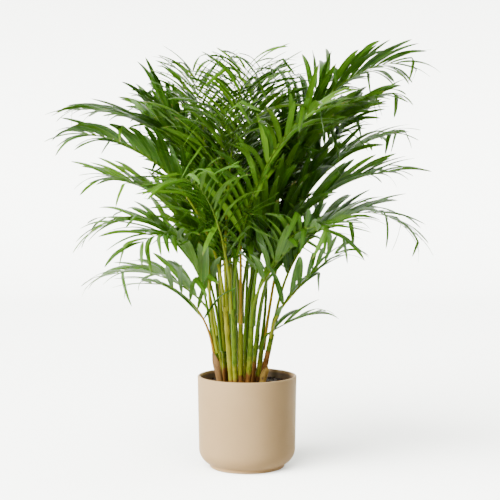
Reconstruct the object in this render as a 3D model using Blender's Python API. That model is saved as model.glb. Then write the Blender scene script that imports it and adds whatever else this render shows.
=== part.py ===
"""A potted areca palm: a round-bottomed planter, its soil, the canes that stand in it and their fronds.

Each cane stands in a hole of its own in the soil and carries two or three fronds on its top. A frond is
one piece: a bare stalk, the rib that carries on from it, and the leaflets along both sides of the rib.
Lengths are in metres, +Z is up, and the origin is on the floor at the planter's axis.
"""

import itertools
import math

import bpy
import numpy as np
from mathutils import Vector
from mathutils.bvhtree import BVHTree

GAP = 0.0003

# planter
RIM_RADIUS = 0.120
LOW_RADIUS = 0.117
PLANTER_HEIGHT = 0.222
WALL = 0.007
FLOOR_THICKNESS = 0.014
FOOT_RADIUS = 0.091
FOOT_HEIGHT = 0.0085
BOTTOM_ROUNDING = 0.040
LIP_ROUNDING = 0.0024
PLANTER_SIDES = 40
ROUNDING_STEPS = 5

# soil
HEADSPACE = 0.021
HOLE_DEPTH = 0.025

# canes
CANES = 16
CLUSTER_RADIUS = 0.059
CLUSTER_CENTRE = (-0.017, 0.0)
CLUSTER_TURN = math.radians(-2)
GOLDEN_TURN = math.pi * (3 - math.sqrt(5))
CANE_SPREAD = math.radians(12)
CANE_SHORTEST = 0.09
CANE_STEP = 0.035
CANE_FOOT_RADIUS = 0.0062
CANE_SIDES = 8

# fronds
STALK_RADIUS = 0.0024
STALK_CORNER = math.sqrt(2) * STALK_RADIUS
RIB_END_RADIUS = 0.0008
SEAT_CLEARANCE = 0.0007
SEAT_RADIUS = (STALK_CORNER + SEAT_CLEARANCE / 2) / math.sin(math.pi / 3)
CANE_TOP_RADIUS = SEAT_RADIUS + STALK_RADIUS
STALK_SHARE = 0.30
PAIR_SPACING = 0.044
LEAFLET_LENGTH = 0.215
LEAFLET_WIDTH = 0.021
LEAFLET_THICKNESS = 0.0012
LEAFLET_ROOT = 0.006
LEAFLET_WIDEST = 0.40
FROND_SCALE_LENGTH = 0.62
PATH_STEPS = 160
PATH_CLEARANCE = 0.0005
PATH_TURN_STEP = 1.5  # degrees, as the leans below
PATH_TURNS = 60
PATH_LEANS = (0, 2, -2, 4, -4)
RIB_ROOM = 0.0022
ROOT_ROOM = 0.0016
LEAF_CLEARANCE = 0.0005

# Fronds that give the palm its outline, by (cane, place on the cane):
# azimuth, length, lean of the stalk, droop from there to the tip, and how late the droop comes.
OUTLINE_FRONDS = {
    (0, 0): (5, 0.84, 12, 76, 3.2),
    (1, 0): (60, 0.60, 3, 22, 1.8),
    (2, 0): (172, 0.69, 6, 82, 1.6),
    (3, 0): (352, 0.62, 13, 56, 1.8),
    (4, 0): (184, 0.53, 8, 74, 1.9),
    (5, 0): (16, 0.60, 12, 58, 1.6),
    (5, 1): (302, 0.44, 15, 92, 1.6),
    (6, 0): (150, 0.56, 11, 40, 1.8),
    (7, 0): (193, 0.56, 12, 72, 1.6),
    (8, 0): (350, 0.15, 50, 25, 1.0),
    (9, 0): (184, 0.33, 31, 75, 1.2),
    (9, 1): (236, 0.42, 14, 100, 1.6),
    (10, 0): (338, 0.36, 20, 60, 1.3),
    (10, 1): (6, 0.51, 17, 66, 1.5),
    (12, 0): (172, 0.47, 3, 114, 1.9),
    (12, 1): (222, 0.27, 14, 72, 1.1),
    (12, 2): (262, 0.64, 3, 26, 1.9),
    (13, 0): (356, 0.50, 10, 122, 1.9),
    (13, 1): (338, 0.26, 30, 24, 1.0),
    (14, 0): (120, 0.64, 4, 26, 1.8),
    (15, 0): (250, 0.44, 15, 70, 1.5),
    (15, 1): (318, 0.54, 11, 52, 1.8),
}

# dried sheaths: cane, height, azimuth that the back of the sheath faces
DRY_SHEATHS = ((13, 0.048, -75), (12, 0.085, -110))
SHEATH_THICKNESS = 0.0009
SHEATH_WRAP = math.radians(100)
SHEATH_PEEL = 0.004


def clear_scene():
    for thing in list(bpy.data.objects):
        bpy.data.objects.remove(thing)


def finish(name, color, roughness):
    made = bpy.data.materials.new(name)
    made.use_nodes = True
    shader = made.node_tree.nodes["Principled BSDF"]
    shader.inputs["Base Color"].default_value = (*color, 1)
    shader.inputs["Roughness"].default_value = roughness
    shader.inputs["Metallic"].default_value = 0
    return made


def add_object(name, points, faces, material, smooth=True):
    mesh = bpy.data.meshes.new(name)
    mesh.from_pydata([tuple(point) for point in points], [], faces)
    mesh.materials.append(material)
    if smooth:
        mesh.shade_smooth()
        mesh.set_sharp_from_angle(angle=math.radians(35))
    made = bpy.data.objects.new(name, mesh)
    bpy.context.scene.collection.objects.link(made)
    return made


# --- planter and soil -------------------------------------------------------------------------------


def arc(centre, radius, start, end, steps):
    """Points (radius, height) from start to end degrees round the centre."""
    angles = np.radians(np.linspace(start, end, steps + 1))
    return [(centre[0] + radius * math.cos(a), centre[1] + radius * math.sin(a)) for a in angles]


def outer_outline():
    """From the edge of the underside, up the foot, round the bottom edge and up to the lip."""
    centre_radius = LOW_RADIUS - BOTTOM_ROUNDING
    start = -math.degrees(math.acos((FOOT_RADIUS - centre_radius) / BOTTOM_ROUNDING))
    centre_height = FOOT_HEIGHT - BOTTOM_ROUNDING * math.sin(math.radians(start))
    bottom_edge = arc((centre_radius, centre_height), BOTTOM_ROUNDING, start, 0, ROUNDING_STEPS)
    return [(FOOT_RADIUS, 0)] + bottom_edge


def inner_radius(height, clearance=0.0):
    """Radius of the inner wall, which keeps its thickness up the slight taper."""
    share = (height - FOOT_HEIGHT) / (PLANTER_HEIGHT - FOOT_HEIGHT)
    return LOW_RADIUS + (RIM_RADIUS - LOW_RADIUS) * share - WALL - clearance


def inner_outline(top, clearance=0.0):
    """From the given height down the inner wall, round its bottom edge and in to the floor."""
    rounding = BOTTOM_ROUNDING - WALL
    centre_height = FLOOR_THICKNESS + rounding
    wall_radius = inner_radius(centre_height)
    centre = (wall_radius - rounding, centre_height)
    bottom_edge = arc(centre, rounding - clearance, 0, -90, ROUNDING_STEPS)
    return [(inner_radius(top, clearance), top)] + bottom_edge


def turned(name, outline, material):
    """A solid of revolution; the outline runs from the axis to the axis, anticlockwise seen with +X right."""
    rings = outline[1:-1]
    angles = 2 * np.pi * np.arange(PLANTER_SIDES) / PLANTER_SIDES
    points = [(r * math.cos(a), r * math.sin(a), z) for r, z in rings for a in angles]
    first, last = len(points), len(points) + 1
    points += [(0, 0, outline[0][1]), (0, 0, outline[-1][1])]
    faces = []
    for side in range(PLANTER_SIDES):
        following = (side + 1) % PLANTER_SIDES
        faces.append((first, following, side))
        for ring in range(len(rings) - 1):
            low, high = ring * PLANTER_SIDES, (ring + 1) * PLANTER_SIDES
            faces.append((low + side, low + following, high + following, high + side))
        top = (len(rings) - 1) * PLANTER_SIDES
        faces.append((top + side, top + following, last))
    return add_object(name, points, faces, material)


def make_planter(material):
    inner_lip = inner_radius(PLANTER_HEIGHT)
    lip_height = PLANTER_HEIGHT - LIP_ROUNDING
    outside = arc((RIM_RADIUS - LIP_ROUNDING, lip_height), LIP_ROUNDING, 0, 90, 2)
    inside = arc((inner_lip + LIP_ROUNDING, lip_height), LIP_ROUNDING, 90, 180, 2)
    outline = [(0, 0)] + outer_outline() + outside + inside
    outline += inner_outline(lip_height)[1:] + [(0, FLOOR_THICKNESS)]
    return turned("planter", outline, material)


def make_soil(material, canes):
    top = PLANTER_HEIGHT - HEADSPACE
    bottom = FLOOR_THICKNESS + GAP
    wall = inner_outline(top, GAP)[::-1]
    soil = turned("potting_soil", [(0, bottom)] + wall + [(0, top)], material)
    for number, cane in enumerate(canes):
        hole = tube_object(f"hole_{number:02d}", *hole_path(cane), CANE_SIDES, material)
        hole.hide_render = True
        hole.display_type = "WIRE"
        cut = soil.modifiers.new(hole.name, "BOOLEAN")
        cut.operation = "DIFFERENCE"
        cut.solver = "EXACT"
        cut.object = hole
    return soil


# --- the palm's skeleton: where each cane and each frond runs -----------------------------------------


def tilted(tilt):
    """Unit direction that leans from vertical by the length of tilt, in radians, towards (tilt x, tilt y)."""
    lean = math.hypot(tilt[0], tilt[1])
    if lean < 1e-9:
        return np.array((0.0, 0.0, 1.0))
    across = math.sin(lean) / lean
    return np.array((tilt[0] * across, tilt[1] * across, math.cos(lean)))


def cane_rule(number):
    """Foot, tilt, length, outward turn and share of the cluster's radius of one cane."""
    share = math.sqrt((number + 0.5) / CANES)
    turn = CLUSTER_TURN + number * GOLDEN_TURN
    outward = np.array((math.cos(turn), math.sin(turn)))
    foot = np.array((*(CLUSTER_CENTRE + outward * CLUSTER_RADIUS * share), PLANTER_HEIGHT - HEADSPACE))
    length = CANE_SHORTEST + CANE_STEP * (number * 5 % 4)
    tilt = outward * CANE_SPREAD * share
    return {"foot": foot, "tilt": tilt, "length": length, "turn": turn, "share": share}


def cane_top(cane):
    return cane["foot"] + tilted(cane["tilt"]) * cane["length"]


def hole_path(cane):
    along = tilted(cane["tilt"])
    ends = [cane["foot"] - along * (HOLE_DEPTH + GAP), cane["foot"] + along * HOLE_DEPTH]
    return ends, [CANE_FOOT_RADIUS + GAP] * 2


def frond_rules(canes):
    """One row a frond: cane, azimuth, length, lean, droop, lateness of the droop, seat's azimuth, roll."""
    rows = []
    for number, cane in enumerate(canes):
        count = 3 - number % 2
        own = []
        for place in range(count):
            order = 3 * number + place
            first = order * 0.618034 % 1
            second = order * 0.754878 % 1
            if (number, place) in OUTLINE_FRONDS:
                azimuth, length, lean, droop, late = OUTLINE_FRONDS[number, place]
            else:
                spread = 80 * (place - (count - 1) / 2) + 30 * (first - 0.5)
                azimuth = math.degrees(cane["turn"]) + spread
                length = 0.53 + 0.10 * second + 0.04 * (1 - cane["share"])
                lean = 2 + 5 * cane["share"] + 4 * first
                droop = 26 + 34 * first
                late = 1.9
            own.append([number, azimuth % 360, length, lean, droop, late, 50 * (second - 0.5)])
        own.sort(key=lambda row: row[1])
        steps = [math.radians(row[1] - 360 * place / count) for place, row in enumerate(own)]
        offset = math.atan2(sum(map(math.sin, steps)), sum(map(math.cos, steps)))
        for place, row in enumerate(own):
            row.append(offset + 2 * math.pi * place / count)
        rows += own
    return rows


def frond_path(cane, row, turned_by=0.0, more_lean=0.0):
    """Points, directions and the azimuth of one frond, from its seat on the cane's top to its tip."""
    _, azimuth, length, lean, droop, late, _, seat = row
    azimuth = math.radians(azimuth + turned_by)
    outward = np.array((math.cos(azimuth), math.sin(azimuth)))
    along = tilted(cane["tilt"])
    across = np.array((math.cos(seat), math.sin(seat), 0.0))
    across -= along * (across @ along)
    across /= np.linalg.norm(across)
    point = cane_top(cane) + along * GAP + across * SEAT_RADIUS
    points, directions = [point], [along]
    for step in range(PATH_STEPS):
        share = (step + 0.5) / PATH_STEPS
        ramp = min(1.0, share / 0.3)
        ramp *= ramp * (3 - 2 * ramp)
        bend = math.radians((lean + more_lean) * ramp + droop * share**late)
        direction = tilted(cane["tilt"] * (1 - ramp) + outward * bend)
        point = point + direction * (length / PATH_STEPS)
        points.append(point)
        directions.append(direction)
    return np.array(points), np.array(directions), azimuth


def stalk_radius(share):
    return STALK_RADIUS + (RIB_END_RADIUS - STALK_RADIUS) * share


def stands_clear(points, radii, placed):
    for others, other_radii in placed:
        apart = np.linalg.norm(points[:, None] - others[None], axis=2)
        if (apart - radii[:, None] - other_radii[None]).min() < PATH_CLEARANCE:
            return False
    return True


def path_trials():
    """Changes of a frond's azimuth and lean, in degrees, in the order to try them."""
    for more_lean in PATH_LEANS:
        for attempt in range(PATH_TURNS):
            yield PATH_TURN_STEP * ((attempt + 1) // 2) * (-1) ** attempt, more_lean


def frond_skeleton(canes):
    """Every frond's path; one that would run through a stalk or a cane already there turns a little."""
    rows = frond_rules(canes)
    placed = []
    for cane in canes:
        along = tilted(cane["tilt"])
        spots = np.linspace(0, cane["length"] - CANE_TOP_RADIUS, 40)
        line = cane["foot"] + spots[:, None] * along
        placed.append((line, np.full(len(line), CANE_FOOT_RADIUS)))
    shares = np.linspace(0, 1, PATH_STEPS + 1)
    radii = STALK_CORNER / STALK_RADIUS * stalk_radius(shares)
    radii += RIB_ROOM * np.clip(shares / 0.2 - 1, 0, 1)
    paths = []
    for row in rows:
        others = placed[: row[0]] + placed[row[0] + 1 :]
        for turned_by, more_lean in path_trials():
            path = frond_path(canes[row[0]], row, turned_by, more_lean)
            if stands_clear(path[0], radii, others):
                break
        placed.append((path[0], radii))
        paths.append(path)
    return rows, paths


# --- canes --------------------------------------------------------------------------------------------


def tube(ends, radii, sides):
    """Points and faces of a closed round tube through the given centres."""
    ends = [np.asarray(end) for end in ends]
    along = ends[-1] - ends[0]
    along = along / np.linalg.norm(along)
    first = np.cross(along, (0.0, 1.0, 0.0))
    first /= np.linalg.norm(first)
    second = np.cross(along, first)
    points = []
    for centre, radius in zip(ends, radii):
        for side in range(sides):
            a = 2 * math.pi * side / sides
            points.append(centre + radius * (first * math.cos(a) + second * math.sin(a)))
    faces = [tuple(range(sides))[::-1]]
    for ring in range(len(ends) - 1):
        for side in range(sides):
            low = ring * sides
            following = (side + 1) % sides
            faces.append((low + side, low + following, low + sides + following, low + sides + side))
    faces.append(tuple(range((len(ends) - 1) * sides, len(ends) * sides)))
    return points, faces


def tube_object(name, ends, radii, sides, material):
    return add_object(name, *tube(ends, radii, sides), material)


def make_cane(number, cane, material):
    along = tilted(cane["tilt"])
    spots = np.linspace(-HOLE_DEPTH, cane["length"], 5)
    radii = np.interp(spots, (0, cane["length"]), (CANE_FOOT_RADIUS, CANE_TOP_RADIUS))
    ends = [cane["foot"] + along * spot for spot in spots]
    return tube_object(f"cane_{number + 1:02d}", ends, radii, CANE_SIDES, material)


def make_dry_sheath(number, cane, height, azimuth, material):
    """A dried sheath that clasps the foot of a cane and peels away to a point at its top."""
    along = tilted(cane["tilt"])
    facing = np.array((math.cos(azimuth), math.sin(azimuth), 0.0))
    facing -= along * (facing @ along)
    facing /= np.linalg.norm(facing)
    beside = np.cross(along, facing)
    rows, columns = 6, 5
    clasp = (CANE_FOOT_RADIUS + 2 * GAP) / math.cos(SHEATH_WRAP / (columns - 1))
    start = 2 * GAP + (clasp + SHEATH_THICKNESS) * math.tan(np.linalg.norm(cane["tilt"]))
    points = []
    for layer in (0, 1):
        for row in range(rows):
            share = row / (rows - 1)
            wrap = SHEATH_WRAP * (1 - 0.93 * share**1.5)
            radius = clasp + layer * SHEATH_THICKNESS + SHEATH_PEEL * share**2
            spot = cane["foot"] + along * (start + height * share)
            for column in range(columns):
                a = wrap * (2 * column / (columns - 1) - 1)
                points.append(spot + radius * (facing * math.cos(a) + beside * math.sin(a)))

    def index(layer, row, column):
        return (layer * rows + row) * columns + column

    faces = []
    for row in range(rows - 1):
        for column in range(columns - 1):
            corners = ((row, column), (row, column + 1), (row + 1, column + 1), (row + 1, column))
            faces.append([index(1, *corner) for corner in corners])
            faces.append([index(0, *corner) for corner in corners[::-1]])
    rim = [(row, 0) for row in range(rows - 1, 0, -1)] + [(0, column) for column in range(columns - 1)]
    rim += [(row, columns - 1) for row in range(rows - 1)]
    rim += [(rows - 1, column) for column in range(columns - 1, 0, -1)]
    for here, following in zip(rim, rim[1:] + rim[:1]):
        faces.append((index(1, *here), index(0, *here), index(0, *following), index(1, *following)))
    return add_object(f"dry_sheath_{number + 1:02d}", points, faces, material)


# --- fronds -------------------------------------------------------------------------------------------


def cross_axes(direction, azimuth, roll):
    """Left and upper directions across a rib that runs along direction."""
    left = np.array((-math.sin(azimuth), math.cos(azimuth), 0.0))
    left -= direction * (left @ direction)
    left /= np.linalg.norm(left)
    upper = np.cross(direction, left)
    return left * math.cos(roll) + upper * math.sin(roll), upper * math.cos(roll) - left * math.sin(roll)


def pair_shares(length):
    """Where along a frond, from 0 at its seat to 1 at its tip, its pairs of leaflets grow."""
    count = max(2, round(length * (1 - STALK_SHARE) / PAIR_SPACING))
    return np.linspace(STALK_SHARE, 1 - 0.6 * LEAFLET_ROOT / length, count)


def leaflet_rule(along_rib, length):
    """Length, angle from the rib, rise above it and bend of a leaflet, by its place along the rib."""
    frond_scale = min(1.0, 0.62 + 0.38 * length / FROND_SCALE_LENGTH)
    fullness = 0.56 + 0.44 * math.sin(math.pi * min(1.0, 0.30 + 0.66 * along_rib))
    angle = math.radians(40 - 12 * along_rib)
    rise = math.radians(36 - 16 * along_rib)
    bend = 0.80 + 0.20 * along_rib
    return LEAFLET_LENGTH * frond_scale * fullness, angle, rise, bend


def leaflet_curve(root, direction, left, upper, side, length, angle, rise, bend):
    """A function of 0..1 that gives the leaflet's point and direction; it bends down and outwards."""
    outward = side * left * math.cos(rise) + upper * math.sin(rise)
    start = direction * math.cos(angle) + outward * math.sin(angle)
    down = 0.45 * side * left - np.array((0.0, 0.0, 1.0))
    down -= start * (down @ start)
    down /= np.linalg.norm(down)

    def at(share):
        turned_by = bend * share
        point = root + (length / bend) * (math.sin(turned_by) * start + (1 - math.cos(turned_by)) * down)
        return point, math.cos(turned_by) * start + math.sin(turned_by) * down

    return at


def leaflet_points(at, direction, side, width, thickness):
    """Corners of the leaflet's widest section, in the order of the section it grows from, and its tip."""
    middle, heading = at(LEAFLET_WIDEST)
    across = direction - heading * (direction @ heading)
    across /= np.linalg.norm(across)
    normal = side * np.cross(across, heading)
    corners = [
        middle + across * x * width / 2 + normal * y * thickness / 2
        for x, y in ((-1, -1), (1, -1), (1, 1), (-1, 1))
    ]
    return corners, at(1.0)[0]


def leaflet_trials():
    """Changes of (length, angle, rise, bend) to try in turn, the smallest first."""
    turns = [turn for turn in itertools.product((0, 1, -1), repeat=3) if any(turn)]
    for shorter in (1.0, 0.86, 0.72, 0.58, 0.44, 0.30, 0.18, 0.10, 0.06):
        yield (shorter, 0, 0, 0)
        for amount in (0.16, 0.32, 0.48, 0.64):
            for turn in turns:
                yield (shorter, *(amount * part for part in turn))


def halves(a, b, c, d):
    return [(a, b, c), (a, c, d)]


def closed_leaflet(section, corners, tip):
    """Points and faces of one leaflet with its root closed, for a test against its neighbours."""
    points = [*section, *corners, tip]
    faces = halves(3, 2, 1, 0)
    for k in range(4):
        following = (k + 1) % 4
        faces += halves(k, following, 4 + following, 4 + k)
        faces.append((4 + k, 4 + following, 8))
    return points, faces


class Surroundings:
    """Everything that a leaflet has to stay clear of, each piece with its own box and tree."""

    def __init__(self):
        self.low, self.high, self.trees, self.owners = [], [], [], []

    def add(self, points, faces, owner):
        points = np.array(points)
        self.low.append(points.min(axis=0))
        self.high.append(points.max(axis=0))
        self.trees.append(BVHTree.FromPolygons([Vector(p) for p in points], faces))
        self.owners.append(owner)

    def touched(self, points, faces, owner):
        points = np.array(points)
        low, high = points.min(axis=0), points.max(axis=0)
        near = (np.array(self.low) < high).all(axis=1) & (np.array(self.high) > low).all(axis=1)
        near &= np.array(self.owners) != owner
        tree = BVHTree.FromPolygons([Vector(p) for p in points], faces)
        return any(tree.overlap(self.trees[k]) for k in np.nonzero(near)[0])


class Frond:
    """One frond's rib as rings of four corners, with places for leaflets on its left and right faces."""

    def __init__(self, number, row, path):
        self.number, self.length = number, row[2]
        self.path, self.directions, self.azimuth = path
        self.roll = math.radians(row[6])
        self.pairs = pair_shares(self.length)
        half = 0.5 * LEAFLET_ROOT / self.length
        stalk = list(np.linspace(0, STALK_SHARE - half, 7))
        ends = [share for pair in self.pairs for share in (pair - half, pair + half)]
        self.shares = stalk[:-1] + ends
        self.rings = self.rings_with(0)
        self.first_pair = len(stalk) - 1
        self.leaflets = {}

    def at(self, share):
        spot = share * PATH_STEPS
        whole = min(int(spot), PATH_STEPS - 1)
        rest = spot - whole
        point = self.path[whole] * (1 - rest) + self.path[whole + 1] * rest
        direction = self.directions[min(whole + 1, PATH_STEPS)]
        left, upper = cross_axes(direction, self.azimuth, self.roll * share)
        return point, direction, left, upper

    def rings_with(self, room):
        rings = []
        for share in self.shares:
            point, _, left, upper = self.at(share)
            radius = stalk_radius(share) + room
            corners = ((-1, -1), (1, -1), (1, 1), (-1, 1))
            rings.append([point + radius * (x * left + y * upper) for x, y in corners])
        return rings

    def root_section(self, pair, side):
        """Corners of the face that a leaflet grows from: back under, front under, front upper, back upper."""
        back = self.rings[self.first_pair + 2 * pair]
        front = self.rings[self.first_pair + 2 * pair + 1]
        under, over = (1, 2) if side > 0 else (0, 3)
        return [back[under], front[under], front[over], back[over]]

    def solid(self, room=0.0):
        """Points and faces of the whole frond, closed, its rib thicker by room on every side."""
        points = [point for ring in self.rings_with(room) for point in ring]
        faces = halves(3, 2, 1, 0)
        for ring in range(len(self.rings) - 1):
            place, odd = divmod(ring - self.first_pair, 2)
            for k in range(4):
                side = {1: 1, 3: -1}.get(k)
                if side and not odd and (place, side) in self.leaflets:
                    continue
                following = (k + 1) % 4
                low, high = 4 * ring, 4 * ring + 4
                faces += halves(low + k, low + following, high + following, high + k)
        last = 4 * (len(self.rings) - 1)
        faces += halves(last, last + 1, last + 2, last + 3)
        for (place, side), (corners, tip) in self.leaflets.items():
            low = 4 * (self.first_pair + 2 * place)
            under, over = (1, 2) if side > 0 else (0, 3)
            root = [low + under, low + 4 + under, low + 4 + over, low + over]
            start = len(points)
            points += [*corners, tip]
            for k in range(4):
                following = (k + 1) % 4
                grown = halves(root[k], root[following], start + following, start + k)
                grown.append((start + k, start + following, start + 4))
                faces += [face[::-1] for face in grown] if side > 0 else grown
        return points, faces


def grow_leaflet(frond, pair, side, surroundings):
    """Adds one leaflet, at the first trial that stays clear of every other frond."""
    share = frond.pairs[pair]
    along_rib = (share - STALK_SHARE) / (1 - STALK_SHARE)
    _, direction, left, upper = frond.at(share)
    section = frond.root_section(pair, side)
    root = sum(section) / 4
    length, angle, rise, bend = leaflet_rule(along_rib, frond.length)
    for shorter, more_angle, more_rise, more_bend in leaflet_trials():
        width = LEAFLET_WIDTH * (0.65 + 0.35 * length / LEAFLET_LENGTH) * math.sqrt(shorter)
        at = leaflet_curve(
            root, direction, left, upper, side,
            length * shorter, angle + more_angle, rise + more_rise, bend + more_bend,
        )
        swollen = (width + 2 * LEAF_CLEARANCE, LEAFLET_THICKNESS + 2 * LEAF_CLEARANCE)
        grown = leaflet_points(at, direction, side, *swollen)
        wide_root = [root + (corner - root) * (1 + 2 * LEAF_CLEARANCE / LEAFLET_ROOT) for corner in section]
        if not surroundings.touched(*closed_leaflet(wide_root, *grown), frond.number):
            break
    corners, tip = leaflet_points(at, direction, side, width, LEAFLET_THICKNESS)
    frond.leaflets[pair, side] = (corners, tip)
    surroundings.add(*closed_leaflet(section, corners, tip), frond.number)


def make_fronds(rows, paths, canes, material):
    fronds = [Frond(number, row, path) for number, (row, path) in enumerate(zip(rows, paths))]
    surroundings = Surroundings()
    for frond in fronds:
        surroundings.add(*frond.solid(ROOT_ROOM), frond.number)
    for cane in canes:
        along = tilted(cane["tilt"])
        ends = [cane["foot"], cane["foot"] + along * cane["length"]]
        surroundings.add(*tube(ends, [CANE_FOOT_RADIUS + GAP] * 2, CANE_SIDES), -1)
    most = max(len(frond.pairs) for frond in fronds)
    for pair in range(most):
        for frond in fronds:
            if pair < len(frond.pairs):
                grow_leaflet(frond, pair, 1, surroundings)
                grow_leaflet(frond, pair, -1, surroundings)
    for frond in fronds:
        add_object(f"frond_{frond.number + 1:02d}", *frond.solid(), material, smooth=False)


def main():
    clear_scene()
    canes = [cane_rule(number) for number in range(CANES)]
    rows, paths = frond_skeleton(canes)
    make_planter(finish("planter_ceramic", (0.60, 0.48, 0.36), 0.65))
    make_soil(finish("soil", (0.035, 0.022, 0.014), 0.95), canes)
    cane_green = finish("cane_green", (0.25, 0.30, 0.05), 0.45)
    for number, cane in enumerate(canes):
        make_cane(number, cane, cane_green)
    husk = finish("dry_husk", (0.42, 0.24, 0.10), 0.8)
    for number, (cane, height, azimuth) in enumerate(DRY_SHEATHS):
        make_dry_sheath(number, canes[cane], height, math.radians(azimuth), husk)
    make_fronds(rows, paths, canes, finish("frond_green", (0.06, 0.20, 0.02), 0.4))


main()
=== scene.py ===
"""The looks of a potted areca palm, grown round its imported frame.

Canes, ribs and leaflets follow the same rules as the frame's solids, so each piece lies where the solid
that it stands for lies. Lengths are in metres, +Z is up, and the origin is on the floor at the planter's
axis.
"""

import math

import bpy
import numpy as np
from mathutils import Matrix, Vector, noise


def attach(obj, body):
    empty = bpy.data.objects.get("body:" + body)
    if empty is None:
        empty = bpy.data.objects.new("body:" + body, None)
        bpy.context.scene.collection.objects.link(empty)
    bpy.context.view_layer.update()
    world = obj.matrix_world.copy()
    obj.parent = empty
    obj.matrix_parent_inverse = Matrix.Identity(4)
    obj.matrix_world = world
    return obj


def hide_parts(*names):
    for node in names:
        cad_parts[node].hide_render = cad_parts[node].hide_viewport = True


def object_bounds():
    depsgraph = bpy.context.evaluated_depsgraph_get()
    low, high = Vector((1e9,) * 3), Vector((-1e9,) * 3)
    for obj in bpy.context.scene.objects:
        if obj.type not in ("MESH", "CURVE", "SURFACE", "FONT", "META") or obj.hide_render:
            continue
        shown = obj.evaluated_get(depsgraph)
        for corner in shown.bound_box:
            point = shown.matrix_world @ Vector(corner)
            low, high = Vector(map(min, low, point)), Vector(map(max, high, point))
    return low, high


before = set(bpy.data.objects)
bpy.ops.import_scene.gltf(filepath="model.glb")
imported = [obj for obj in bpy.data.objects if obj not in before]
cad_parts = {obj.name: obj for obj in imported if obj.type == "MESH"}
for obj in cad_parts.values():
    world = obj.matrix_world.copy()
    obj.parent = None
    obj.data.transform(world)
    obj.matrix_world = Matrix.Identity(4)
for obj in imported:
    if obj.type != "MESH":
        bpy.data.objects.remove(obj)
frame_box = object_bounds()

# --- sizes that the frame has too ----------------------------------------------------------------------

GAP = 0.0003

RIM_RADIUS = 0.120
LOW_RADIUS = 0.117
PLANTER_HEIGHT = 0.222
WALL = 0.007
FLOOR_THICKNESS = 0.014
FOOT_RADIUS = 0.091
FOOT_HEIGHT = 0.0085
BOTTOM_ROUNDING = 0.040
LIP_ROUNDING = 0.0032
HEADSPACE = 0.021

CANES = 16
CLUSTER_RADIUS = 0.059
CLUSTER_CENTRE = (-0.017, 0.0)
CLUSTER_TURN = math.radians(-2)
GOLDEN_TURN = math.pi * (3 - math.sqrt(5))
CANE_SPREAD = math.radians(12)
CANE_SHORTEST = 0.09
CANE_STEP = 0.035
CANE_FOOT_RADIUS = 0.0062
HOLE_DEPTH = 0.025

STALK_RADIUS = 0.0024
STALK_CORNER = math.sqrt(2) * STALK_RADIUS
RIB_END_RADIUS = 0.0008
SEAT_CLEARANCE = 0.0007
SEAT_RADIUS = (STALK_CORNER + SEAT_CLEARANCE / 2) / math.sin(math.pi / 3)
CANE_TOP_RADIUS = SEAT_RADIUS + STALK_RADIUS
STALK_SHARE = 0.30
LEAFLET_LENGTH = 0.215
LEAFLET_ROOT = 0.006
FROND_SCALE_LENGTH = 0.62
PATH_STEPS = 160
PATH_CLEARANCE = 0.0005
PATH_TURN_STEP = 1.5  # degrees, as the leans below
PATH_TURNS = 60
PATH_LEANS = (0, 2, -2, 4, -4)
RIB_ROOM = 0.0022

# Fronds that give the palm its outline, by (cane, place on the cane):
# azimuth, length, lean of the stalk, droop from there to the tip, and how late the droop comes.
OUTLINE_FRONDS = {
    (0, 0): (5, 0.84, 12, 76, 3.2),
    (1, 0): (60, 0.60, 3, 22, 1.8),
    (2, 0): (172, 0.69, 6, 82, 1.6),
    (3, 0): (352, 0.62, 13, 56, 1.8),
    (4, 0): (184, 0.53, 8, 74, 1.9),
    (5, 0): (16, 0.60, 12, 58, 1.6),
    (5, 1): (302, 0.44, 15, 92, 1.6),
    (6, 0): (150, 0.56, 11, 40, 1.8),
    (7, 0): (193, 0.56, 12, 72, 1.6),
    (8, 0): (350, 0.15, 50, 25, 1.0),
    (9, 0): (184, 0.33, 31, 75, 1.2),
    (9, 1): (236, 0.42, 14, 100, 1.6),
    (10, 0): (338, 0.36, 20, 60, 1.3),
    (10, 1): (6, 0.51, 17, 66, 1.5),
    (12, 0): (172, 0.47, 3, 114, 1.9),
    (12, 1): (222, 0.27, 14, 72, 1.1),
    (12, 2): (262, 0.64, 3, 26, 1.9),
    (13, 0): (356, 0.50, 10, 122, 1.9),
    (13, 1): (338, 0.26, 30, 24, 1.0),
    (14, 0): (120, 0.64, 4, 26, 1.8),
    (15, 0): (250, 0.44, 15, 70, 1.5),
    (15, 1): (318, 0.54, 11, 52, 1.8),
}

# dried sheaths: cane, height, azimuth that the back of the sheath faces
DRY_SHEATHS = ((13, 0.048, -75), (12, 0.085, -110))
SHEATH_WRAP = math.radians(100)
SHEATH_PEEL = 0.004

# --- sizes of the looks alone --------------------------------------------------------------------------

# planter
PLANTER_SIDES = 192
FOOT_ROUNDING = 0.0036
FOOT_RING = 0.006  # the planter stands on this much of its foot
UNDERSIDE_HOLLOW = 0.0006
UNDERSIDE_SLOPE = 0.002
FOOT_GROOVE = 0.0004
INSIDE_SHADE_DEPTH = 0.012  # the painted shade inside is at its darkest this far below the lip

# soil
SOIL_RINGS = 44
SOIL_SIDES = 120
SOIL_RISE = 0.0035
CRUMB_DENSITY = 42000
SMALLEST_CRUMB = 0.0008
LARGEST_CRUMB = 0.0028

# canes: their radius at shares of their length, and the ring scars at their foot
CANE_POINTS = 90
CANE_SIDES = 18
CANE_SHARES = (0, 0.12, 0.5, 0.9, 1)
CANE_RADII = (0.0072, 0.0066, 0.0061, 0.0061, CANE_TOP_RADIUS)
CANE_SWAY = 0.0010
RING_SCARS = 4
FIRST_SCAR = 0.010
SCAR_STEP = 0.017
SCAR_SWELL = 0.0006
SCAR_GROOVE = 0.0003
SHEATH_EDGES = 2
SHEATH_EDGE_SWELL = 0.0005
TALL_CANE = 0.25  # height at which a cane's height attribute is 1

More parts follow.
